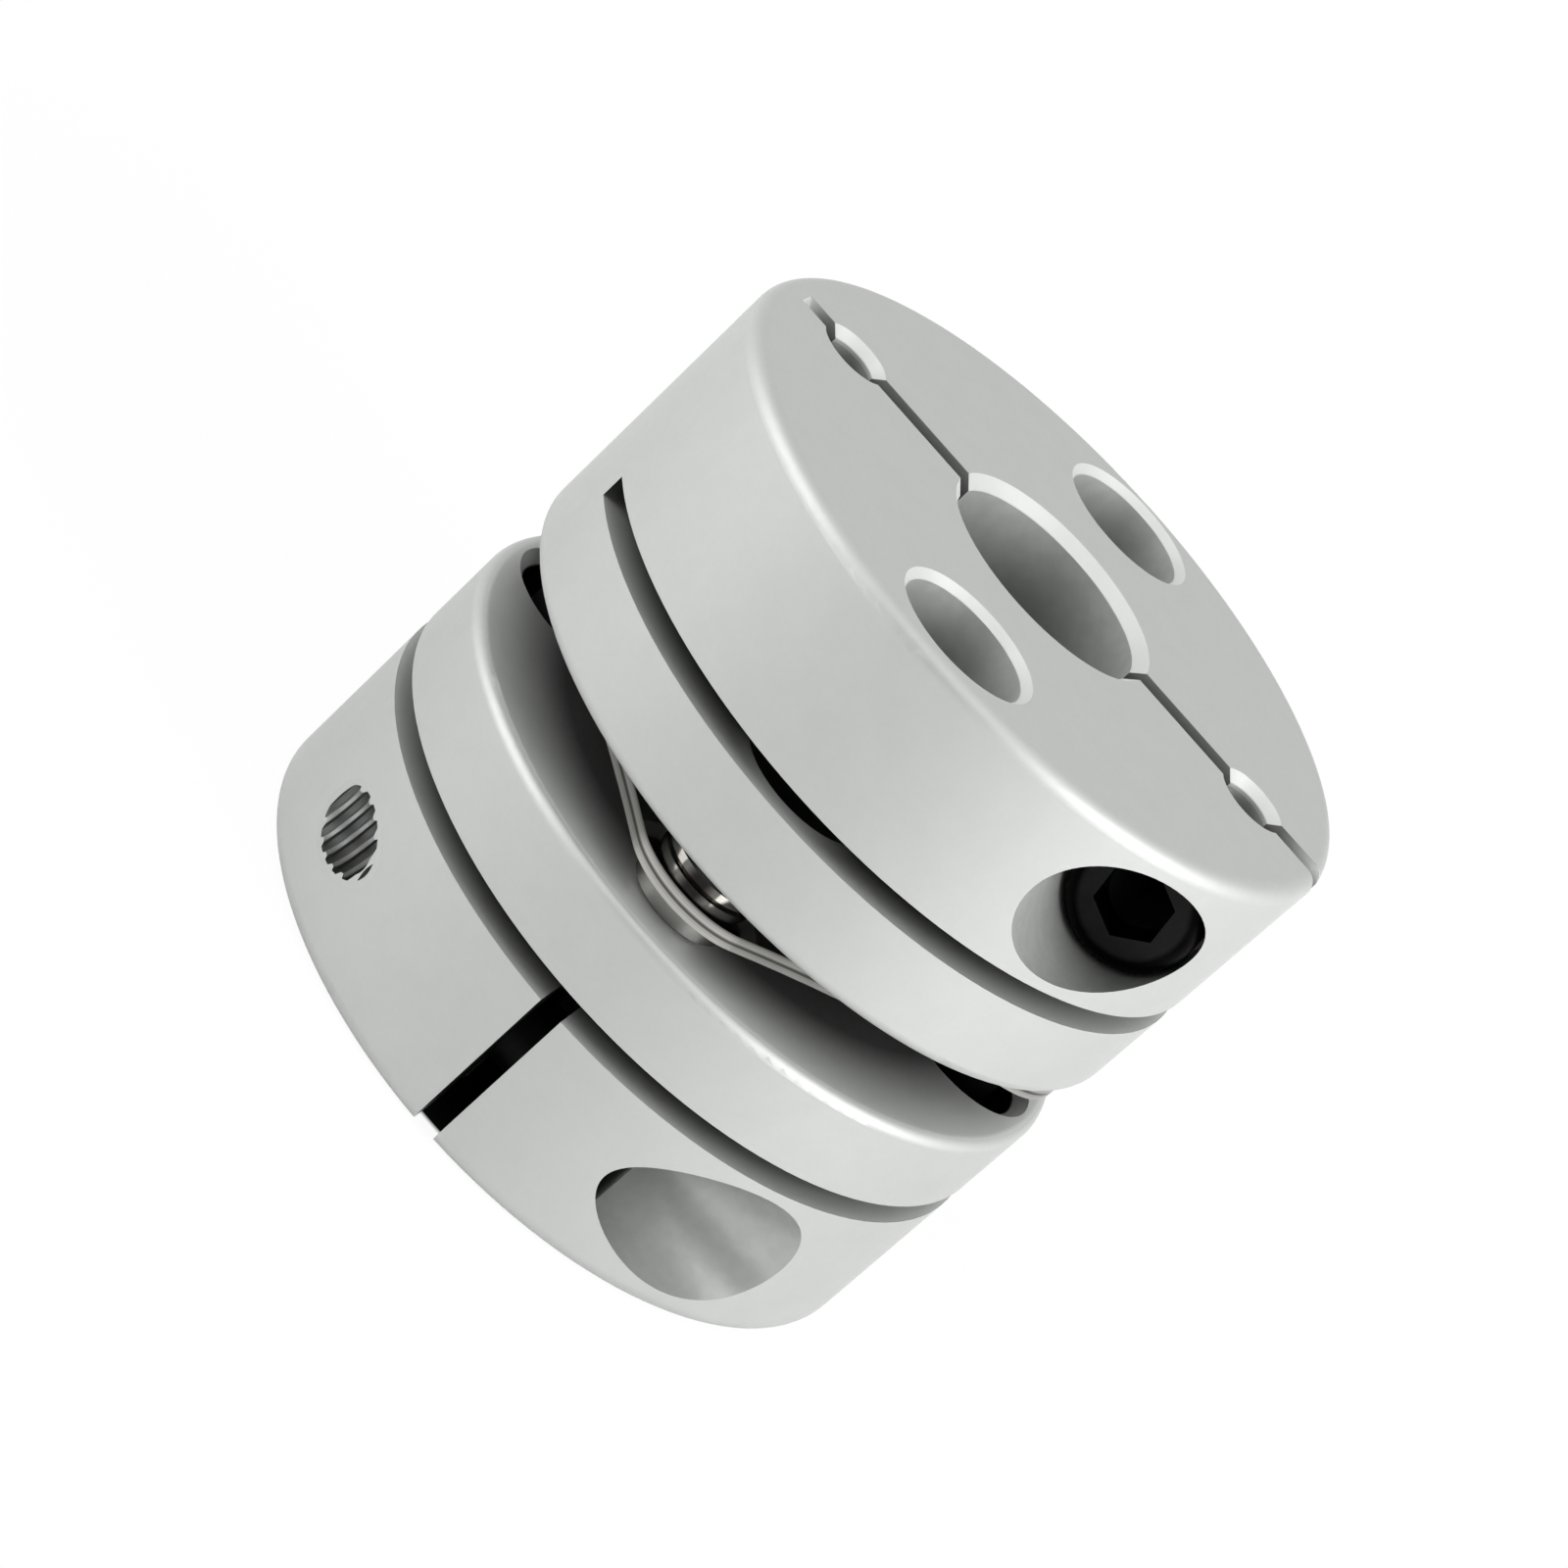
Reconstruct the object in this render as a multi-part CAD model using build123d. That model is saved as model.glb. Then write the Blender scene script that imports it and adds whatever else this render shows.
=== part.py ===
from build123d import *

import os
from math import atan2, copysign, cos, radians, sin, sqrt, tan

# Clamping disc coupling for two shafts in line, in millimetres.
# The shaft axis is Z, with the origin on it, midway between the two hubs.
# The hubs are the same part. The upper one is described here: its slit opens towards +X and its
# clamp screw goes in from -Y. The lower one is the same part turned over.

# Whole coupling
outside_dia = 56.0
overall_length = 51.0
hub_gap = 5.8

# Hub as turned
bore_dia = 17.0
flange_thick = 7.1
end_edge_round = 1.2
flange_edge_round = 0.9
bore_mouth_chamfer = 0.9
bore_back_chamfer = 0.4

# Saw cuts. A web is what a cut leaves standing at the rim.
cross_slot_width = 1.9
cross_slot_web = 2.2
cross_slot_saw_dia = 125.0
slit_width = 2.0
slit_web = 2.1
slit_saw_dia = 75.0
slit_floor_rise = 0.6

# Disc screws, two into each hub's flange, all four on one circle
access_wall = 2.05
disc_screw_dia = 4.0
disc_screw_length = 10.0
disc_screw_head_dia = 7.0
disc_screw_head_height = 4.0
disc_screw_key = 3.0
disc_screw_key_depth = 2.0
disc_screw_head_round = 0.4

# Clamp screw
clamp_screw_dia = 6.0
clamp_screw_length = 20.0
clamp_screw_head_dia = 10.0
clamp_screw_head_height = 6.0
clamp_screw_key = 5.0
clamp_screw_key_depth = 3.0
clamp_screw_key_turn = 40.0
clamp_screw_head_round = 0.9
clamp_screw_from_rim = 7.5
clamp_screw_from_end = 7.35
clamp_seat_from_slit = 4.4

# Disc pack: flat spring leaves, each with a lobe round every disc screw.
# The insets run inwards from the disc screw circle.
leaf_count = 4
leaf_thick = 0.33
lobe_radius = 6.3
waist_inset = 0.5
opening_inset = 6.7

# Rings on the disc screws
ring_dia = 8.0
washer_thick = 1.0
ring_edge_chamfer = 0.2

# Fits, all on the radius
thread_clearance = 0.05
ring_clearance = 0.1
screw_clearance = 0.3
tap_drill_clearance = 0.15
counterbore_clearance = 0.4
access_clearance = 1.75

# Mouths of the holes
access_end_chamfer = 0.6
access_gap_chamfer = 0.9
tap_drill_chamfer = 0.75
screw_tip_chamfer = 0.6
key_point_angle = 120.0

# Worked out from the sizes above
outside_radius = outside_dia / 2
bore_radius = bore_dia / 2
access_radius = disc_screw_head_dia / 2 + access_clearance
disc_screw_radius = outside_radius - access_wall - access_radius
flange_face_z = hub_gap / 2
slot_floor_z = flange_face_z + flange_thick
slot_roof_z = slot_floor_z + cross_slot_width
end_face_z = overall_length / 2
clamp_screw_x = outside_radius - clamp_screw_from_rim
clamp_screw_z = end_face_z - clamp_screw_from_end
clamp_seat_y = -(slit_width / 2 + clamp_seat_from_slit)
pack_thick = leaf_count * leaf_thick
collar_thick = (hub_gap - pack_thick) / 2
waist_radius = disc_screw_radius - waist_inset
leaf_opening_radius = disc_screw_radius - opening_inset
beyond = outside_dia


def mouth_up(radius, chamfer, z):
    """Cutter for the chamfered mouth of a hole that opens upwards at height z."""
    return Pos(0, 0, z) * Cone(radius, radius + 2 * chamfer, 2 * chamfer)


def mouth_down(radius, chamfer, z):
    """Cutter for the chamfered mouth of a hole that opens downwards at height z."""
    return Pos(0, 0, z) * Cone(radius + 2 * chamfer, radius, 2 * chamfer)


def upright(radius, low_z, high_z):
    """Round bar along Z between two heights."""
    return Pos(0, 0, (low_z + high_z) / 2) * Cylinder(radius, high_z - low_z)


def across(radius, low_y, high_y):
    """Round bar along Y on the clamp screw's axis, between two places."""
    bar = Rot(90, 0, 0) * Cylinder(radius, high_y - low_y)
    return Pos(clamp_screw_x, (low_y + high_y) / 2, clamp_screw_z) * bar


def turned_blank():
    """The hub as it leaves the lathe: half a section, revolved about the shaft axis."""
    wall = outside_radius - bore_radius
    length = end_face_z - flange_face_z
    section = Pos(bore_radius + wall / 2, flange_face_z + length / 2) * Rectangle(wall, length)
    back_corner = section.vertices().group_by(Axis.X)[0].sort_by(Axis.Y)[0]
    section = chamfer(back_corner, bore_back_chamfer)
    mouth_corner = section.vertices().group_by(Axis.X)[0].sort_by(Axis.Y)[-1]
    section = chamfer(mouth_corner, bore_mouth_chamfer)
    end_corner = section.vertices().group_by(Axis.X)[-1].sort_by(Axis.Y)[-1]
    section = fillet(end_corner, end_edge_round)
    flange_corner = section.vertices().group_by(Axis.X)[-1].sort_by(Axis.Y)[0]
    section = fillet(flange_corner, flange_edge_round)
    return revolve(Plane.XZ * section, Axis.Z)


def cross_slot():
    """Saw cut between clamp and flange. The round blade stops short of the rim at -X."""
    saw_radius = cross_slot_saw_dia / 2
    deepest_x = -(outside_radius - cross_slot_web)
    return Pos(deepest_x + saw_radius, 0, 0) * upright(saw_radius, slot_floor_z, slot_roof_z)


def clamp_slit():
    """Saw cut that parts the clamp, fed in from +X. The blade's arc runs out in the far wall."""
    saw_radius = slit_saw_dia / 2
    floor_z = slot_floor_z + slit_floor_rise
    saw_z = floor_z + saw_radius
    runout_x = -(outside_radius - slit_web)
    saw_x = runout_x + sqrt(saw_radius**2 - (saw_z - end_face_z) ** 2)
    blade = Pos(saw_x, 0, saw_z) * (Rot(90, 0, 0) * Cylinder(saw_radius, slit_width))
    feed = Pos(saw_x, 0, floor_z) * Box(beyond, slit_width, beyond, align=(Align.MIN, Align.CENTER, Align.MIN))
    return blade + feed


def clamp_screw_hole():
    """Counterbore and clearance hole in the near jaw, tapped hole through the far jaw."""
    counterbore = across(clamp_screw_head_dia / 2 + counterbore_clearance, -beyond, clamp_seat_y)
    clearance = across(clamp_screw_dia / 2 + screw_clearance, clamp_seat_y, 0)
    tapped = across(clamp_screw_dia / 2 + thread_clearance, 0, beyond)
    return counterbore + clearance + tapped


def access_hole():
    """Wide hole over a disc screw of the other hub, for its head and its key."""
    hole = upright(access_radius, 0, overall_length)
    end_mouth = mouth_up(access_radius, access_end_chamfer, end_face_z)
    gap_mouth = mouth_down(access_radius, access_gap_chamfer, flange_face_z)
    return hole + end_mouth + gap_mouth


def disc_screw_hole():
    """Tapped hole in the flange, and the drilled hole above it that lets the tap through."""
    tapped = upright(disc_screw_dia / 2 + thread_clearance, 0, slot_roof_z)
    drill_radius = disc_screw_dia / 2 + tap_drill_clearance
    drilled = upright(drill_radius, slot_roof_z, overall_length)
    return tapped + drilled + mouth_up(drill_radius, tap_drill_chamfer, end_face_z)


def make_hub():
    """One hub: turned, drilled on the disc screw circle, then sawn and bored for its clamp screw."""
    hub = turned_blank()
    for side in (-1, 1):
        hub -= Pos(0, side * disc_screw_radius, 0) * access_hole()
        hub -= Pos(side * disc_screw_radius, 0, 0) * disc_screw_hole()
    hub -= clamp_screw_hole()
    hub -= cross_slot()
    return hub - clamp_slit()


def make_cap_screw(dia, length, head_dia, head_height, key, key_depth, head_round):
    """Socket head cap screw along Z, head up, seated at z = 0."""
    head = Pos(head_dia / 4, head_height / 2) * Rectangle(head_dia / 2, head_height)
    top_corner = head.vertices().group_by(Axis.X)[-1].sort_by(Axis.Y)[-1]
    head = fillet(top_corner, head_round)
    shank = Pos(dia / 4, -length / 2) * Rectangle(dia / 2, length)
    tip_corner = shank.vertices().group_by(Axis.X)[-1].sort_by(Axis.Y)[0]
    shank = chamfer(tip_corner, screw_tip_chamfer)
    screw = revolve(Plane.XZ * (head + shank), Axis.Z)
    hexagon = RegularPolygon(key / 2, 6, major_radius=False)
    screw -= Pos(0, 0, head_height - key_depth) * extrude(hexagon, key_depth)
    point_height = key / 2 / tan(radians(key_point_angle / 2))
    point = Cone(0, key / 2, point_height, align=(Align.CENTER, Align.CENTER, Align.MAX))
    return screw - Pos(0, 0, head_height - key_depth) * point


def make_clamp_screw():
    """Clamp screw, head in the counterbore and tip towards +Y."""
    screw = make_cap_screw(
        clamp_screw_dia,
        clamp_screw_length,
        clamp_screw_head_dia,
        clamp_screw_head_height,
        clamp_screw_key,
        clamp_screw_key_depth,
        clamp_screw_head_round,
    )
    screw = Rot(90, 0, 0) * (Rot(0, 0, clamp_screw_key_turn) * screw)
    return Pos(clamp_screw_x, clamp_seat_y, clamp_screw_z) * screw


def make_disc_screw():
    """Disc screw, head down under its washer and tip up in the flange."""
    screw = make_cap_screw(
        disc_screw_dia,
        disc_screw_length,
        disc_screw_head_dia,
        disc_screw_head_height,
        disc_screw_key,
        disc_screw_key_depth,
        disc_screw_head_round,
    )
    return Pos(0, 0, -(pack_thick / 2 + washer_thick)) * (Rot(180, 0, 0) * screw)


def make_ring(thick, low_z):
    """Plain ring on a disc screw, its outer edges broken."""
    ring = Cylinder(ring_dia / 2, thick)
    ring = chamfer(ring.edges(), ring_edge_chamfer)
    ring -= Cylinder(disc_screw_dia / 2 + ring_clearance, thick)
    return Pos(0, 0, low_z + thick / 2) * ring


def leaf_outline():
    """Four round lobes joined by shallow hollow sides, each arc tangent to the next."""
    inset = waist_radius - lobe_radius
    side_away = (disc_screw_radius**2 - inset**2) / (sqrt(2) * disc_screw_radius - 2 * inset)
    side_x = side_away * cos(radians(45)) - disc_screw_radius
    side_y = side_away * sin(radians(45))
    facing = copysign(1, side_away)
    join_angle = atan2(facing * side_y, facing * side_x)
    join = Vector(disc_screw_radius + lobe_radius * cos(join_angle), lobe_radius * sin(join_angle))
    waist = Vector(waist_radius * cos(radians(45)), waist_radius * sin(radians(45)))
    lobe = ThreePointArc((join.X, -join.Y), (disc_screw_radius + lobe_radius, 0), join)
    side = ThreePointArc(join, waist, (join.Y, join.X))
    quarters = [Rot(0, 0, turn) * edge for turn in (0, 90, 180, 270) for edge in (lobe, side)]
    return make_face(quarters)


def make_leaf(low_z):
    """One spring leaf, with a hole for each disc screw."""
    hole = Circle(disc_screw_dia / 2 + ring_clearance)
    holes = PolarLocations(disc_screw_radius, 4) * hole
    leaf = leaf_outline() - Circle(leaf_opening_radius) - holes
    return Pos(0, 0, low_z) * extrude(leaf, leaf_thick)


def turned_over(shape):
    """A piece of the upper half, turned over to its place in the lower half."""
    return shape.rotate(Axis((0, 0, 0), (1, -1, 0)), 180)


def upper_and_lower(name, shape):
    """The same piece in both halves, under its two names."""
    return {f"upper_{name}": shape, f"lower_{name}": turned_over(shape)}


pieces = upper_and_lower("hub", make_hub())
pieces |= upper_and_lower("clamp_screw", make_clamp_screw())
for number in range(leaf_count):
    pieces[f"disc_leaf_{number + 1}"] = make_leaf(number * leaf_thick - pack_thick / 2)
screw_stack = {
    "disc_screw": make_disc_screw(),
    "collar": make_ring(collar_thick, pack_thick / 2),
    "washer": make_ring(washer_thick, -(pack_thick / 2 + washer_thick)),
}
for upper_side, lower_side, side in (("right", "front", 1), ("left", "back", -1)):
    for name, shape in screw_stack.items():
        placed = Pos(side * disc_screw_radius, 0, 0) * shape
        pieces[f"upper_{name}_{upper_side}"] = placed
        pieces[f"lower_{name}_{lower_side}"] = turned_over(placed)

os.makedirs("parts", exist_ok=True)
for name, shape in pieces.items():
    export_step(shape, f"parts/{name}.step")
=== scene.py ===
from math import cos, pi, radians, sin

import bmesh
import bpy
from mathutils import Matrix, Vector


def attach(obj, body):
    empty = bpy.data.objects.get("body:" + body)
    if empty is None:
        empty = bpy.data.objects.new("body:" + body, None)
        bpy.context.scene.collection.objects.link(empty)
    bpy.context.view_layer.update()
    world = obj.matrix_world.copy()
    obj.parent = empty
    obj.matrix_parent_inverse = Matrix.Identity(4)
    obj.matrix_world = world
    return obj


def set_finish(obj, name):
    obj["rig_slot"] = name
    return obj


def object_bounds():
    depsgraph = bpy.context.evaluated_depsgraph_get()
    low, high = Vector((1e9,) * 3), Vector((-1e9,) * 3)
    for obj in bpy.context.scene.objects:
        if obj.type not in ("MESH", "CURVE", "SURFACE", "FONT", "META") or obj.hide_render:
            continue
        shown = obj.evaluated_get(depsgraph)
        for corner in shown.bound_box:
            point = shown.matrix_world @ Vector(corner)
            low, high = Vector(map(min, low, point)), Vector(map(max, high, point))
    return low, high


# Shaft coupling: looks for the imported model, in metres, in the model's own frame.
# The shaft axis is Z, with the origin on it, midway between the two hubs.

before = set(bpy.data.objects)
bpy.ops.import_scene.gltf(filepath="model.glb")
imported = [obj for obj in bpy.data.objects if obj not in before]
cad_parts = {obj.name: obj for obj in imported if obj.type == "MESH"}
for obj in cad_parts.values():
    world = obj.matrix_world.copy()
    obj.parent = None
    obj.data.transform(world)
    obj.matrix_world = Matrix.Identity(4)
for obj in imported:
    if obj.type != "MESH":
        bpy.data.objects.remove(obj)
cad_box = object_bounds()

MM = 0.001

bpy.context.scene.view_settings.view_transform = "Standard"


# Camera, floor and light

CAMERA_LENS = 112.1
CAMERA_AZIMUTH = 2.81
CAMERA_ELEVATION = 22.74
CAMERA_ROLL = 47.5
CAMERA_DISTANCE = 348.1 * MM
CAMERA_AIM = Vector((-2.02, -0.10, 0.0)) * MM
SENSOR_WIDTH = 36.0
CLIP_START = 0.01
CLIP_END = 20.0


def direction(azimuth, elevation):
    """Unit vector from the object, azimuth 0 towards -Y and 90 towards +X."""
    a = radians(azimuth)
    e = radians(elevation)
    return Vector((sin(a) * cos(e), -cos(a) * cos(e), sin(e)))


def make_camera():
    """The photograph's view. The camera is rolled, because the object stands upright here."""
    data = bpy.data.cameras.new("camera")
    data.lens = CAMERA_LENS
    data.sensor_width = SENSOR_WIDTH
    data.clip_start = CLIP_START
    data.clip_end = CLIP_END
    camera = bpy.data.objects.new("camera", data)
    bpy.context.scene.collection.objects.link(camera)
    back = direction(CAMERA_AZIMUTH, CAMERA_ELEVATION)
    level = (-back).to_track_quat("-Z", "Y").to_matrix().to_4x4()
    roll = Matrix.Rotation(radians(CAMERA_ROLL), 4, "Z")
    place = Matrix.Translation(CAMERA_AIM + back * CAMERA_DISTANCE)
    camera.matrix_world = place @ level @ roll
    bpy.context.scene.camera = camera


FLOOR_SIZE = 3.0
FLOOR_COLOUR = (0.90, 0.90, 0.90, 1.0)
FLOOR_LIFT_NEAR = 0.14
FLOOR_LIFT_FAR = 0.75
FLOOR_NEAR = 0.12
FLOOR_FAR = 0.60
FLOOR_WHITE_SHARE = 0.93
# Painted shadow: the floor is nearly black under the object's footprint, out to these radii
FLOOR_PAINTED_SHADOW_COLOUR = (0.02, 0.02, 0.02, 1.0)
FLOOR_COVERED = 25.6 * MM
FLOOR_OPEN = 26.2 * MM
WORLD_DIFFUSE = 0.47

# A darker patch of world behind the camera, in degrees from the camera's own direction
FRONT_LEVEL = 0.12
FRONT_CORE = 14.0
FRONT_EDGE = 34.0

LAMP_SIDE_WIDTH = 0.40
LAMP_SIDE_HEIGHT = 0.42
LAMP_TOP_SIZE = 0.34


def shader_tree(material):
    """Node tree of a material, emptied."""
    material.use_nodes = True
    tree = material.node_tree
    tree.nodes.clear()
    return tree


def make_world():
    """White for the camera and for reflections, and softer for diffuse rays.

    The patch behind the camera is darker for every ray but the camera's own.
    """
    world = bpy.data.worlds.new("studio")
    bpy.context.scene.world = world
    tree = shader_tree(world)
    nodes, links = tree.nodes, tree.links
    path = nodes.new("ShaderNodeLightPath")
    seen = nodes.new("ShaderNodeMath")
    seen.operation = "MAXIMUM"
    links.new(path.outputs["Is Camera Ray"], seen.inputs[0])
    links.new(path.outputs["Is Glossy Ray"], seen.inputs[1])
    clear = nodes.new("ShaderNodeMath")
    clear.operation = "MAXIMUM"
    links.new(seen.outputs[0], clear.inputs[0])
    links.new(path.outputs["Is Transmission Ray"], clear.inputs[1])
    level = nodes.new("ShaderNodeMapRange")
    level.inputs["To Min"].default_value = WORLD_DIFFUSE
    level.inputs["To Max"].default_value = 1.0
    links.new(clear.outputs[0], level.inputs["Value"])
    place = nodes.new("ShaderNodeTexCoord")
    facing = nodes.new("ShaderNodeVectorMath")
    facing.operation = "DOT_PRODUCT"
    facing.inputs[1].default_value = direction(CAMERA_AZIMUTH, CAMERA_ELEVATION)
    links.new(place.outputs["Generated"], facing.inputs[0])
    front = nodes.new("ShaderNodeMapRange")
    front.inputs["From Min"].default_value = cos(radians(FRONT_EDGE))
    front.inputs["From Max"].default_value = cos(radians(FRONT_CORE))
    front.inputs["To Min"].default_value = 1.0
    front.inputs["To Max"].default_value = FRONT_LEVEL
    links.new(facing.outputs["Value"], front.inputs["Value"])
    unseen = nodes.new("ShaderNodeMix")
    unseen.data_type = "FLOAT"
    unseen.inputs["B"].default_value = 1.0
    links.new(path.outputs["Is Camera Ray"], unseen.inputs["Factor"])
    links.new(front.outputs["Result"], unseen.inputs["A"])
    strength = nodes.new("ShaderNodeMath")
    strength.operation = "MULTIPLY"
    links.new(level.outputs["Result"], strength.inputs[0])
    links.new(unseen.outputs["Result"], strength.inputs[1])
    background = nodes.new("ShaderNodeBackground")
    background.inputs["Color"].default_value = (1.0, 1.0, 1.0, 1.0)
    links.new(strength.outputs[0], background.inputs["Strength"])
    output = nodes.new("ShaderNodeOutputWorld")
    links.new(background.outputs[0], output.inputs["Surface"])


def make_floor():
    """Pale floor under the lower hub's end face, with a painted shadow, nearly black, where the object
    covers it.

    The camera sees it as nearly white, with a faint shadow of the object.
    """
    low_corner, _ = cad_box
    mesh = bpy.data.meshes.new("floor")
    half = FLOOR_SIZE / 2
    corners = [(-half, -half, 0), (half, -half, 0), (half, half, 0), (-half, half, 0)]
    mesh.from_pydata(corners, [], [(0, 1, 2, 3)])
    floor = bpy.data.objects.new("floor", mesh)
    floor.location.z = low_corner.z
    bpy.context.scene.collection.objects.link(floor)
    material = bpy.data.materials.new("floor")
    tree = shader_tree(material)
    nodes, links = tree.nodes, tree.links
    diffuse = nodes.new("ShaderNodeBsdfDiffuse")
    place = nodes.new("ShaderNodeTexCoord")
    away = nodes.new("ShaderNodeVectorMath")
    away.operation = "LENGTH"
    links.new(place.outputs["Object"], away.inputs[0])
    lift = nodes.new("ShaderNodeMapRange")
    lift.inputs["From Min"].default_value = FLOOR_NEAR
    lift.inputs["From Max"].default_value = FLOOR_FAR
    lift.inputs["To Min"].default_value = FLOOR_LIFT_NEAR
    lift.inputs["To Max"].default_value = FLOOR_LIFT_FAR
    links.new(away.outputs["Value"], lift.inputs["Value"])
    # Painted shadow under the footprint: dark colour there, and no lift or white
    outside_painted_shadow = nodes.new("ShaderNodeMapRange")
    outside_painted_shadow.inputs["From Min"].default_value = FLOOR_COVERED
    outside_painted_shadow.inputs["From Max"].default_value = FLOOR_OPEN
    links.new(away.outputs["Value"], outside_painted_shadow.inputs["Value"])
    tint = nodes.new("ShaderNodeMix")
    tint.data_type = "RGBA"
    tint.inputs["A"].default_value = FLOOR_PAINTED_SHADOW_COLOUR
    tint.inputs["B"].default_value = FLOOR_COLOUR
    links.new(outside_painted_shadow.outputs["Result"], tint.inputs["Factor"])
    links.new(tint.outputs["Result"], diffuse.inputs["Color"])
    path = nodes.new("ShaderNodeLightPath")
    seen = nodes.new("ShaderNodeMath")
    seen.operation = "MAXIMUM"
    links.new(path.outputs["Is Camera Ray"], seen.inputs[0])
    links.new(path.outputs["Is Glossy Ray"], seen.inputs[1])
    reached = nodes.new("ShaderNodeMath")
    reached.operation = "MULTIPLY"
    links.new(seen.outputs[0], reached.inputs[0])
    links.new(outside_painted_shadow.outputs["Result"], reached.inputs[1])
    strength = nodes.new("ShaderNodeMath")
    strength.operation = "MULTIPLY"
    links.new(reached.outputs[0], strength.inputs[0])
    links.new(lift.outputs["Result"], strength.inputs[1])
    glow = nodes.new("ShaderNodeEmission")
    links.new(strength.outputs[0], glow.inputs["Strength"])
    lit = nodes.new("ShaderNodeAddShader")
    links.new(diffuse.outputs[0], lit.inputs[0])
    links.new(glow.outputs[0], lit.inputs[1])
    white = nodes.new("ShaderNodeEmission")
    share = nodes.new("ShaderNodeMath")
    share.operation = "MULTIPLY"
    share.inputs[1].default_value = FLOOR_WHITE_SHARE
    bare = nodes.new("ShaderNodeMath")
    bare.operation = "MULTIPLY"
    links.new(path.outputs["Is Camera Ray"], bare.inputs[0])
    links.new(outside_painted_shadow.outputs["Result"], bare.inputs[1])
    links.new(bare.outputs[0], share.inputs[0])
    both = nodes.new("ShaderNodeMixShader")
    links.new(share.outputs[0], both.inputs["Fac"])
    links.new(lit.outputs[0], both.inputs[1])
    links.new(white.outputs[0], both.inputs[2])
    output = nodes.new("ShaderNodeOutputMaterial")
    links.new(both.outputs[0], output.inputs["Surface"])
    mesh.materials.append(material)


def make_lamp(name, azimuth, elevation, distance, width, height, power):
    """Softbox that faces the object."""
    data = bpy.data.lights.new(name, "AREA")
    data.shape = "RECTANGLE"
    data.size = width
    data.size_y = height
    data.energy = power
    lamp = bpy.data.objects.new(name, data)
    lamp.visible_camera = False
    bpy.context.scene.collection.objects.link(lamp)
    back = direction(azimuth, elevation)
    turn = (-back).to_track_quat("-Z", "Y").to_matrix().to_4x4()
    lamp.matrix_world = Matrix.Translation(back * distance) @ turn


make_camera()
make_world()
make_floor()
make_lamp("lamp_right", 72.0, 23.0, 0.50, LAMP_SIDE_WIDTH, LAMP_SIDE_HEIGHT, 2.70)
make_lamp("lamp_left", -69.0, 23.0, 0.50, LAMP_SIDE_WIDTH, LAMP_SIDE_HEIGHT, 1.70)
make_lamp("lamp_top", 0.0, 70.0, 0.60, LAMP_TOP_SIZE, LAMP_TOP_SIZE, 0.30)


# Materials

HUB_COLOUR = (0.468, 0.480, 0.466, 1.0)
BLACK_COLOUR = (0.007, 0.007, 0.0075, 1.0)
STEEL_COLOUR = (0.56, 0.55, 0.52, 1.0)
RING_COLOUR = (0.38, 0.375, 0.36, 1.0)


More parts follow.
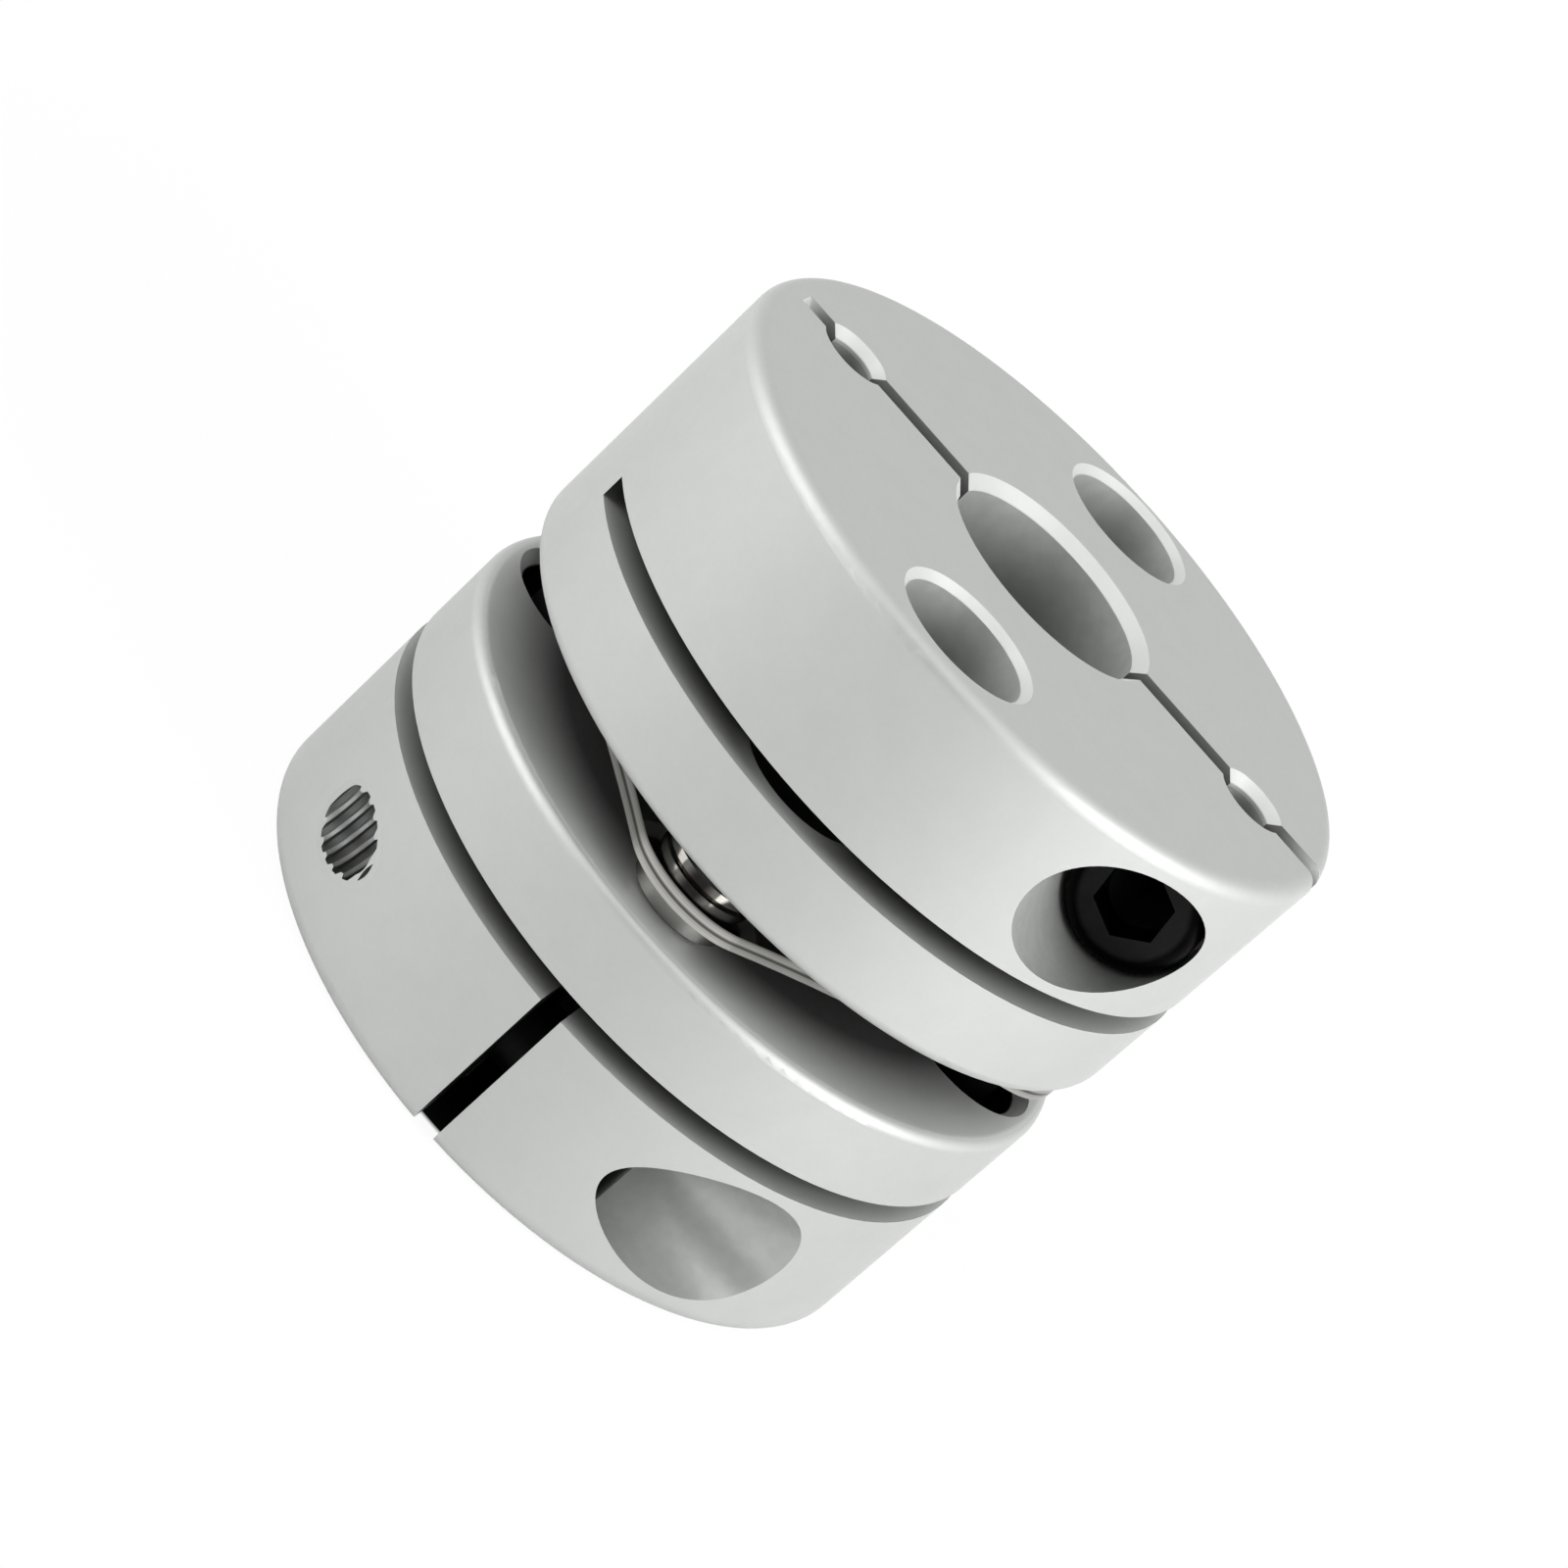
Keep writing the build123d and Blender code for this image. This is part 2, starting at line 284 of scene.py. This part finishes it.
class Surface:
    """A Principled material that reads its patterns in object space."""

    def __init__(self, name, colour, metallic, roughness):
        self.material = bpy.data.materials.new(name)
        self.tree = shader_tree(self.material)
        self.place = self.node("ShaderNodeTexCoord").outputs["Object"]
        self.shader = self.node("ShaderNodeBsdfPrincipled")
        self.shader.inputs["Base Color"].default_value = colour
        self.shader.inputs["Metallic"].default_value = metallic
        self.shader.inputs["Roughness"].default_value = roughness
        output = self.node("ShaderNodeOutputMaterial")
        self.link(self.shader.outputs[0], output.inputs["Surface"])

    def node(self, kind, **settings):
        made = self.tree.nodes.new(kind)
        for key, value in settings.items():
            setattr(made, key, value)
        return made

    def link(self, start, end):
        self.tree.links.new(start, end)

    def noise(self, grain, detail=2.0, squeeze=(1.0, 1.0, 1.0)):
        """Noise with grains of a given size in metres, squeezed along the axes."""
        mapping = self.node("ShaderNodeMapping")
        mapping.inputs["Scale"].default_value = [share / grain for share in squeeze]
        self.link(self.place, mapping.inputs["Vector"])
        made = self.node("ShaderNodeTexNoise")
        made.inputs["Scale"].default_value = 1.0
        made.inputs["Detail"].default_value = detail
        self.link(mapping.outputs[0], made.inputs["Vector"])
        return made.outputs["Fac"]

    def spread(self, value, low, high, from_low=0.3, from_high=0.7):
        """A pattern's range, moved to low and high."""
        made = self.node("ShaderNodeMapRange")
        made.inputs["From Min"].default_value = from_low
        made.inputs["From Max"].default_value = from_high
        made.inputs["To Min"].default_value = low
        made.inputs["To Max"].default_value = high
        self.link(value, made.inputs["Value"])
        return made.outputs["Result"]

    def bump(self, value, height, strength=1.0):
        """Fine relief of a given height in metres."""
        made = self.node("ShaderNodeBump")
        made.inputs["Strength"].default_value = strength
        made.inputs["Distance"].default_value = height
        self.link(value, made.inputs["Height"])
        self.link(made.outputs["Normal"], self.shader.inputs["Normal"])

    def math(self, operation, first, second=None, third=None):
        """One sum, of sockets or numbers."""
        made = self.node("ShaderNodeMath", operation=operation)
        for value, socket in zip((first, second, third), made.inputs):
            if value is None:
                continue
            if isinstance(value, (int, float)):
                socket.default_value = value
            else:
                self.link(value, socket)
        return made.outputs[0]

    def axes(self):
        """The three coordinates of a point."""
        split = self.node("ShaderNodeSeparateXYZ")
        self.link(self.place, split.inputs[0])
        return split.outputs

    def both(self, *parts):
        """Product of sockets or numbers."""
        result = parts[0]
        for part in parts[1:]:
            result = self.math("MULTIPLY", result, part)
        return result

    def below(self, value, limit):
        """1 where a value is under a limit, else 0."""
        return self.math("LESS_THAN", value, limit)

    def above(self, value, limit):
        """1 where a value is over a limit, else 0."""
        return self.math("GREATER_THAN", value, limit)

    def distance(self, first, second, centre):
        """Distance in a plane from a point that is given by two coordinates."""
        a = self.math("SUBTRACT", first, centre[0])
        b = self.math("SUBTRACT", second, centre[1])
        return self.math("SQRT", self.math("ADD", self.both(a, a), self.both(b, b)))

    def tint(self, colour, tone):
        """Base colour times a tone."""
        made = self.node("ShaderNodeVectorMath", operation="SCALE")
        made.inputs[0].default_value = colour[:3]
        self.link(tone, made.inputs["Scale"])
        self.link(made.outputs[0], self.shader.inputs["Base Color"])

    def blend(self, factor, first, second):
        """Between two numbers or sockets."""
        made = self.node("ShaderNodeMix", data_type="FLOAT")
        self.link(factor, made.inputs["Factor"])
        for value, name in ((first, "A"), (second, "B")):
            if isinstance(value, (int, float)):
                made.inputs[name].default_value = value
            else:
                self.link(value, made.inputs[name])
        return made.outputs["Result"]


# The hubs' holes and cuts, for the finish of their walls and for the shade and light painted on them. A
# wall lies just inside each limit.
# Measured on the upper hub, where the slit runs along X.
WALL_MARGIN = 0.06 * MM
BORE_RADIUS = 8.5 * MM
ACCESS_RADIUS = 5.25 * MM
DISC_SCREW_AWAY = 20.7 * MM
DRILL_RADIUS = 2.15 * MM
COUNTERBORE_RADIUS = 5.4 * MM
CLAMP_AWAY = 20.5 * MM
CLAMP_HEIGHT = 18.15 * MM
CLAMP_SEAT = -5.4 * MM
SLIT_HALF = 1.0 * MM
SLIT_END = -25.95 * MM
OUTSIDE_RADIUS = 28.0 * MM
END_FACE = 25.5 * MM
FLANGE_FACE = 2.9 * MM
SLOT_FLOOR = 10.0 * MM
SLOT_ROOF = 11.9 * MM
MOUTH_WIDTH = 1.0 * MM
# Painted highlight: the holes' chamfered mouths are this much lighter
MOUTH_PAINTED_HIGHLIGHT = 1.34
HOLE_METALLIC = 0.35
BORED_METALLIC = 0.50
GAP_METALLIC = 0.35
OUTSIDE_METALLIC = 0.60
TAPPED_ROOT = 2.72 * MM
TAPPED_CREST = 2.42 * MM
# Painted shade in the tapped thread: ridges a little darker, grooves dark
RIDGE_TONE = 0.85
GROOVE_PAINTED_SHADE = 0.28

# Painted shade and painted light that change with place on the hub: tone at the first place, tone at the
# second, both places
HOLE_PAINTED_SHADE_AND_LIGHT = (0.06, 1.32, 11.0 * MM, 25.2 * MM)
DRILL_PAINTED_SHADE = (0.10, 0.80, 21.0 * MM, 24.9 * MM)
SEAT_PAINTED_SHADE = (1.0, 0.75, -16.0 * MM, -11.5 * MM)
SLIT_PAINTED_SHADE = (0.06, 0.55, 23.5 * MM, 25.4 * MM)
SLIT_RIM_PAINTED_LIGHT_AWAY = (0.0, 1.6, 22.0 * MM, 27.0 * MM)
SLIT_RIM_PAINTED_LIGHT_HEIGHT = (0.0, 1.0, 23.8 * MM, 25.2 * MM)
SLIT_END_PAINTED_HIGHLIGHT = (1.5, 0.0, SLIT_END, -23.0 * MM)
SLOT_PAINTED_SHADE_AND_LIGHT = (0.04, 1.2, 23.0 * MM, 27.9 * MM)
GAP_PAINTED_SHADE_AND_LIGHT = (0.14, 1.1, 20.0 * MM, 27.2 * MM)

# Ranges that noise moves a tone or a roughness in
MOTTLE_TONE = (0.975, 1.0)
SMUDGE_TONE = (0.93, 1.0, 0.40, 0.62)
STAIN_TONE = (0.6, 1.0)
LEAF_STAIN_TONE = (0.94, 1.0)
RING_STAIN_TONE = (0.93, 1.0)
BLASTED_ROUGHNESS = (0.50, 0.56)
DRILLED_ROUGHNESS = (0.32, 0.38)
BLACK_ROUGHNESS = (0.42, 0.52)
LEAF_ROUGHNESS = (0.08, 0.11)
RING_ROUGHNESS = (0.07, 0.10)


def hub_material():
    """Satin anodised aluminium, blasted outside, with drilled walls and saw cuts.

    The photo's soft shading inside the holes, the cuts and the gap is part of the colour here.
    """
    surface = Surface("hub_satin", HUB_COLOUR, OUTSIDE_METALLIC, 0.40)
    x, y, z = surface.axes()
    upper = surface.above(z, 0.0)
    along = surface.blend(upper, surface.math("MULTIPLY", y, -1.0), x)
    across = surface.blend(upper, surface.math("MULTIPLY", x, -1.0), y)
    height = surface.math("ABSOLUTE", z)
    beside = surface.math("ABSOLUTE", across)
    away = surface.distance(x, y, (0.0, 0.0))
    past_bore = surface.math("SUBTRACT", away, BORE_RADIUS)
    to_access = surface.distance(along, beside, (0.0, DISC_SCREW_AWAY))
    past_access = surface.math("SUBTRACT", to_access, ACCESS_RADIUS)
    to_drill = surface.distance(surface.math("ABSOLUTE", along), across, (DISC_SCREW_AWAY, 0.0))
    past_drill = surface.math("SUBTRACT", to_drill, DRILL_RADIUS)
    to_clamp = surface.distance(along, height, (CLAMP_AWAY, CLAMP_HEIGHT))
    past_hole = surface.math("MINIMUM", past_bore, past_access)
    under_end = surface.below(height, END_FACE - WALL_MARGIN / 2)
    inside = surface.below(away, OUTSIDE_RADIUS - WALL_MARGIN)

    upright = surface.both(surface.below(past_hole, WALL_MARGIN), under_end)
    drilled_hole = surface.both(
        surface.below(past_drill, WALL_MARGIN),
        surface.above(height, SLOT_ROOF + WALL_MARGIN),
        surface.above(beside, SLIT_HALF + WALL_MARGIN / 3),
        under_end)
    level = surface.both(
        surface.below(to_clamp, COUNTERBORE_RADIUS + WALL_MARGIN),
        surface.below(across, CLAMP_SEAT + WALL_MARGIN),
        inside)
    mouth = surface.both(
        surface.above(past_hole, WALL_MARGIN),
        surface.below(surface.math("MINIMUM", past_hole, past_drill), MOUTH_WIDTH),
        surface.above(height, END_FACE - MOUTH_WIDTH),
        under_end,
        surface.above(beside, SLIT_HALF + WALL_MARGIN))
    slit = surface.both(
        surface.below(beside, SLIT_HALF + WALL_MARGIN / 3),
        surface.above(along, SLIT_END),
        surface.above(height, SLOT_ROOF + WALL_MARGIN),
        under_end,
        inside)
    slot = surface.both(
        surface.above(height, SLOT_FLOOR - WALL_MARGIN),
        surface.below(height, SLOT_ROOF + WALL_MARGIN),
        inside)
    gap = surface.both(surface.below(height, FLANGE_FACE + WALL_MARGIN), inside)

    # Painted shade deep in the bores and access holes, and painted light near their mouths
    hole_shade_and_light = surface.spread(height, *HOLE_PAINTED_SHADE_AND_LIGHT)
    # Painted shade deep in the slit, painted light at its rim and a painted highlight at its closed end
    slit_shade = surface.spread(height, *SLIT_PAINTED_SHADE)
    slit_rim_light = surface.both(
        surface.spread(away, *SLIT_RIM_PAINTED_LIGHT_AWAY),
        surface.spread(height, *SLIT_RIM_PAINTED_LIGHT_HEIGHT))
    slit_end_highlight = surface.spread(along, *SLIT_END_PAINTED_HIGHLIGHT)
    slit_shade_and_light = surface.math("MAXIMUM", slit_shade, surface.math("MAXIMUM", slit_rim_light, slit_end_highlight))
    # Painted shade deep in the drilled holes
    drill_shade = surface.spread(height, *DRILL_PAINTED_SHADE)
    # Painted shade deep in the cross slot, painted light at its outer edge
    slot_shade_and_light = surface.spread(away, *SLOT_PAINTED_SHADE_AND_LIGHT)
    # Painted shade in the gap between the flanges, and painted light at its outer edge
    gap_shade_and_light = surface.spread(away, *GAP_PAINTED_SHADE_AND_LIGHT)
    # Painted shade on the counterbore wall towards the clamp screw's head
    seat_shade = surface.spread(across, *SEAT_PAINTED_SHADE)
    mottle = surface.spread(surface.noise(2.5 * MM, 3.0), *MOTTLE_TONE)
    smudge = surface.spread(surface.noise(1.1 * MM, 4.0), *SMUDGE_TONE)
    bored = surface.math("MAXIMUM", upright, level)
    tone = surface.both(
        surface.blend(bored, mottle, smudge),
        surface.blend(upright, 1.0, hole_shade_and_light),
        surface.blend(level, 1.0, seat_shade),
        surface.blend(mouth, 1.0, MOUTH_PAINTED_HIGHLIGHT),
        surface.blend(slit, 1.0, slit_shade_and_light),
        surface.blend(drilled_hole, 1.0, drill_shade),
        surface.blend(slot, 1.0, slot_shade_and_light),
        surface.blend(gap, 1.0, gap_shade_and_light))
    surface.tint(HUB_COLOUR, tone)
    plain = surface.math("MAXIMUM", bored, mouth)
    metallic = surface.blend(plain, OUTSIDE_METALLIC, HOLE_METALLIC)
    metallic = surface.blend(upright, metallic, BORED_METALLIC)
    surface.link(surface.blend(gap, metallic, GAP_METALLIC), surface.shader.inputs["Metallic"])
    blasted = surface.spread(surface.noise(0.5 * MM), *BLASTED_ROUGHNESS)
    turned = surface.noise(0.25 * MM, 2.0, (0.3, 0.3, 1.0))
    drilled = surface.spread(turned, *DRILLED_ROUGHNESS)
    surface.link(surface.blend(bored, blasted, drilled), surface.shader.inputs["Roughness"])
    surface.bump(surface.noise(0.12 * MM, 3.0), 0.004 * MM)
    return surface.material


def thread_material():
    """Light ridges over grooves darkened with painted shade in the tapped hole, and the hub's own finish
    at its rim.
    """
    surface = Surface("tapped", HUB_COLOUR, OUTSIDE_METALLIC, 0.40)
    x, y, z = surface.axes()
    upper = surface.above(z, 0.0)
    along = surface.blend(upper, surface.math("MULTIPLY", y, -1.0), x)
    height = surface.math("ABSOLUTE", z)
    away = surface.distance(x, y, (0.0, 0.0))
    inside = surface.below(away, OUTSIDE_RADIUS - WALL_MARGIN / 2)
    reach = surface.distance(along, height, (CLAMP_AWAY, CLAMP_HEIGHT))
    ridge_end = TAPPED_CREST + 0.02 * MM
    groove_start = TAPPED_CREST + 0.16 * MM
    groove_shade = surface.spread(reach, RIDGE_TONE, GROOVE_PAINTED_SHADE, ridge_end, groove_start)
    surface.tint(HUB_COLOUR, surface.blend(inside, 1.0, groove_shade))
    return surface.material


SOCKET_REACH = 2.95 * MM
HEAD_FACE = -11.4 * MM
HEAD_RIM_START = 3.80 * MM
HEAD_RIM_END = 4.15 * MM
# Painted shade in the clamp screws' sockets and round their heads' edges: darker colour, less reflection
PAINTED_SHADE_TONE = 0.4
PAINTED_SHADE_METALLIC = 0.9
BLACK_SPECULAR = 0.12


def black_material():
    """Black oxide on steel, with painted shade in the clamp screws' sockets and round their heads' edges.
    """
    surface = Surface("black_oxide", BLACK_COLOUR, 0.0, 0.36)
    surface.shader.inputs["Specular IOR Level"].default_value = BLACK_SPECULAR
    x, y, z = surface.axes()
    upper = surface.above(z, 0.0)
    along = surface.blend(upper, surface.math("MULTIPLY", y, -1.0), x)
    across = surface.blend(upper, surface.math("MULTIPLY", x, -1.0), y)
    reach = surface.distance(along, surface.math("ABSOLUTE", z), (CLAMP_AWAY, CLAMP_HEIGHT))
    # Painted shade: sockets and head rims are darker
    socket = surface.both(surface.below(reach, SOCKET_REACH), surface.above(across, HEAD_FACE + 0.05 * MM))
    rim = surface.spread(reach, 0.0, 1.0, HEAD_RIM_START, HEAD_RIM_END)
    painted_shade = surface.math("MAXIMUM", socket, surface.both(rim, surface.below(across, CLAMP_SEAT)))
    stain = surface.spread(surface.noise(1.0 * MM), *STAIN_TONE)
    surface.tint(BLACK_COLOUR, surface.both(stain, surface.blend(painted_shade, 1.0, PAINTED_SHADE_TONE)))
    surface.link(surface.both(painted_shade, PAINTED_SHADE_METALLIC), surface.shader.inputs["Metallic"])
    roughness = surface.spread(surface.noise(0.3 * MM), *BLACK_ROUGHNESS)
    surface.link(roughness, surface.shader.inputs["Roughness"])
    return surface.material


LEAF_THICK = 0.33 * MM
LEAF_LINE = 0.04 * MM
LEAF_LINE_TONE = 0.72
PACK_LINE = 0.13 * MM
PACK_LINE_AT = -0.06 * MM
PACK_LINE_TONE = 0.20
# Painted shade on the top leaf's cut edge, under the upper flange
PACK_TOP_PAINTED_SHADE = 0.30
EDGE_TONE = 0.68
EDGE_ROUGHNESS = 0.32
FACE_TONE = 0.70


def leaf_material():
    """Bright rolled spring steel. Its cut edges are duller, with dark lines between leaves and painted
    shade on the top leaf's edge.
    """
    surface = Surface("spring_steel", STEEL_COLOUR, 1.0, 0.20)
    x, y, z = surface.axes()
    facing = surface.node("ShaderNodeSeparateXYZ")
    surface.link(surface.node("ShaderNodeTexCoord").outputs["Normal"], facing.inputs[0])
    edge = surface.below(surface.math("ABSOLUTE", facing.outputs["Z"]), 0.5)
    height = surface.math("ABSOLUTE", z)
    joint = surface.math("ABSOLUTE", surface.math("SUBTRACT", height, LEAF_THICK))
    from_line = surface.math("ABSOLUTE", surface.math("SUBTRACT", z, PACK_LINE_AT))
    # Dark lines between the leaves, and painted shade on the top leaf's cut edge
    joints_and_shade = surface.both(
        surface.spread(from_line, PACK_LINE_TONE, 1.0, 0.4 * PACK_LINE, 1.6 * PACK_LINE),
        surface.spread(z, 1.0, PACK_TOP_PAINTED_SHADE, 1.1 * LEAF_THICK, 1.9 * LEAF_THICK),
        surface.spread(joint, LEAF_LINE_TONE, 1.0, 0.2 * LEAF_LINE, 1.4 * LEAF_LINE))
    cut = surface.both(joints_and_shade, EDGE_TONE)
    stain = surface.spread(surface.noise(2.0 * MM), *LEAF_STAIN_TONE)
    surface.tint(STEEL_COLOUR, surface.both(stain, surface.blend(edge, FACE_TONE, cut)))
    grain = surface.noise(0.3 * MM, 2.0, (0.1, 1.0, 1.0))
    roughness = surface.blend(edge, surface.spread(grain, *LEAF_ROUGHNESS), EDGE_ROUGHNESS)
    surface.link(roughness, surface.shader.inputs["Roughness"])
    return surface.material


def ring_material():
    """Bright turned steel."""
    surface = Surface("turned_steel", RING_COLOUR, 1.0, 0.17)
    surface.tint(RING_COLOUR, surface.spread(surface.noise(1.0 * MM), *RING_STAIN_TONE))
    roughness = surface.spread(surface.noise(0.8 * MM), *RING_ROUGHNESS)
    surface.link(roughness, surface.shader.inputs["Roughness"])
    return surface.material


BLACK = black_material()
TAPPED = thread_material()
LOOKS = {
    "hub": hub_material(),
    "black_screw": BLACK,
    "disc_screw": BLACK,
    "leaf": leaf_material(),
    "ring": ring_material(),
}

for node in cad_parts.values():
    for place in node.material_slots:
        place.material = LOOKS[place.material.name.split(".")[0]]


# Threads in the empty ends of the tapped holes

THREAD_COLUMNS = 72
LOW_SHARE = 0.24
HIGH_SHARE = 0.42
HUB_TRIM = 0.01 * MM
CLAMP_PITCH = 1.0 * MM
CLAMP_TIP = 14.6 * MM
TAPPED_RADIUS = 3.06 * MM
DISC_PITCH = 0.7 * MM
DISC_TIP = 8.34 * MM
DISC_TAPPED_ROOT = 2.04 * MM
DISC_TAPPED_CREST = 1.70 * MM
SLEEVE_WALL = 0.02 * MM
TIP_GAP = 0.05 * MM
TRIM_TOP = 26.0 * MM
TRIM_SEGMENTS = 720
MERGE_DISTANCE = 0.0003 * MM
SMOOTH_ANGLE = radians(28)


def thread_radius(phase, low, high):
    """Radius of a thread's flank, flat or rounded ridge at a share of its pitch."""
    phase %= 1.0
    flank = (1 - LOW_SHARE - HIGH_SHARE) / 2
    if phase < LOW_SHARE:
        return low
    if phase < LOW_SHARE + flank:
        return low + (high - low) * (phase - LOW_SHARE) / flank
    if phase < LOW_SHARE + flank + HIGH_SHARE:
        return high
    return high - (high - low) * (phase - 1 + flank) / flank


def thread_shell(low, high, pitch, start, end, wall):
    """Closed right-hand thread along Z between two heights, backed by a plain round wall."""
    flank = (1 - LOW_SHARE - HIGH_SHARE) / 2
    phases = (0.0, LOW_SHARE, LOW_SHARE + flank, LOW_SHARE + flank + HIGH_SHARE)
    first = int(start / pitch) - 2
    last = int(end / pitch) + 2
    shell = bmesh.new()
    columns = []
    for step in range(THREAD_COLUMNS + 1):
        turn = step / THREAD_COLUMNS
        across = Vector((cos(2 * pi * turn), sin(2 * pi * turn), 0.0))
        column = []
        for number in range(first, last):
            for phase in phases:
                height = min(max(pitch * (number + phase + turn), start), end)
                radius = thread_radius(height / pitch - turn, low, high)
                column.append(shell.verts.new(across * radius + Vector((0, 0, height))))
        column.append(shell.verts.new(across * wall + Vector((0, 0, end))))
        column.append(shell.verts.new(across * wall + Vector((0, 0, start))))
        columns.append(column)
    for near, far in zip(columns, columns[1:]):
        for place in range(len(near)):
            after = (place + 1) % len(near)
            shell.faces.new((near[place], far[place], far[after], near[after]))
    bmesh.ops.remove_doubles(shell, verts=shell.verts, dist=MERGE_DISTANCE)
    bmesh.ops.recalc_face_normals(shell, faces=shell.faces)
    return shell


def as_piece(shell, name, material, slot_name):
    """A finished bmesh as a named piece in a slot."""
    mesh = bpy.data.meshes.new(name)
    shell.to_mesh(mesh)
    shell.free()
    mesh.materials.append(material)
    piece = bpy.data.objects.new(name, mesh)
    bpy.context.scene.collection.objects.link(piece)
    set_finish(piece, slot_name)
    return piece


def soften(piece):
    """Smooth shading with sharp edges kept."""
    for face in piece.data.polygons:
        face.use_smooth = True
    piece.data.set_sharp_from_angle(angle=SMOOTH_ANGLE)


def combine(piece, other, operation):
    """Boolean of two pieces, applied to the first. The second is deleted."""
    bpy.context.view_layer.update()
    modifier = piece.modifiers.new("trim", "BOOLEAN")
    modifier.operation = operation
    modifier.solver = "EXACT"
    modifier.object = other
    depsgraph = bpy.context.evaluated_depsgraph_get()
    result = bpy.data.meshes.new_from_object(piece.evaluated_get(depsgraph))
    piece.modifiers.clear()
    piece.data = result
    bpy.data.objects.remove(other)


def round_bar(name, radius, low_z, high_z, segments, material):
    """Plain bar on the shaft axis, used as a cutter."""
    bar = bmesh.new()
    bmesh.ops.create_cone(
        bar,
        cap_ends=True,
        segments=segments,
        radius1=radius,
        radius2=radius,
        depth=high_z - low_z)
    bmesh.ops.translate(bar, verts=bar.verts, vec=(0, 0, (low_z + high_z) / 2))
    return as_piece(bar, name, material, "hub")


# The lower half is the upper half, turned half round about the line where x is -y.
TURNED_OVER = Matrix(((0, -1, 0, 0), (-1, 0, 0, 0), (0, 0, -1, 0), (0, 0, 0, 1)))
# Along the clamp screw's axis, towards +Y.
ON_CLAMP = Matrix(((1, 0, 0, CLAMP_AWAY), (0, 0, 1, 0), (0, -1, 0, CLAMP_HEIGHT), (0, 0, 0, 1)))


def both_halves(name, make):
    """The same piece in the upper and the lower half."""
    upper = make("upper_" + name)
    lower = bpy.data.objects.new("lower_" + name, upper.data.copy())
    bpy.context.scene.collection.objects.link(lower)
    lower.data.transform(TURNED_OVER)
    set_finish(lower, upper["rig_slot"])
    for piece in (upper, lower):
        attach(piece, "root")
    return upper, lower


def clamp_thread(name):
    """Thread in the empty end of the clamp's tapped hole, trimmed where it leaves the hub."""
    start = CLAMP_TIP + TIP_GAP
    shell = thread_shell(TAPPED_CREST, TAPPED_ROOT, CLAMP_PITCH, start, OUTSIDE_RADIUS, TAPPED_RADIUS)
    shell.transform(ON_CLAMP)
    piece = as_piece(shell, name, TAPPED, "hub")
    trim = round_bar("trim", OUTSIDE_RADIUS - HUB_TRIM, SLOT_ROOF, TRIM_TOP, TRIM_SEGMENTS, TAPPED)
    combine(piece, trim, "INTERSECT")
    soften(piece)
    return piece


def disc_thread(side):
    """Maker of the thread above a disc screw's tip, in the flange."""

    def make(name):
        shell = thread_shell(
            DISC_TAPPED_CREST,
            DISC_TAPPED_ROOT,
            DISC_PITCH,
            DISC_TIP + TIP_GAP,
            SLOT_FLOOR - HUB_TRIM,
            DISC_TAPPED_ROOT + SLEEVE_WALL)
        shell.transform(Matrix.Translation((side * DISC_SCREW_AWAY, 0, 0)))
        piece = as_piece(shell, name, LOOKS["hub"], "hub")
        soften(piece)
        return piece

    return make


both_halves("clamp_thread", clamp_thread)
both_halves("disc_thread_a", disc_thread(1))
both_halves("disc_thread_b", disc_thread(-1))


# Box corners as plain lists

def corners(box):
    """A box's two corners as plain lists."""
    return [list(corner) for corner in box]
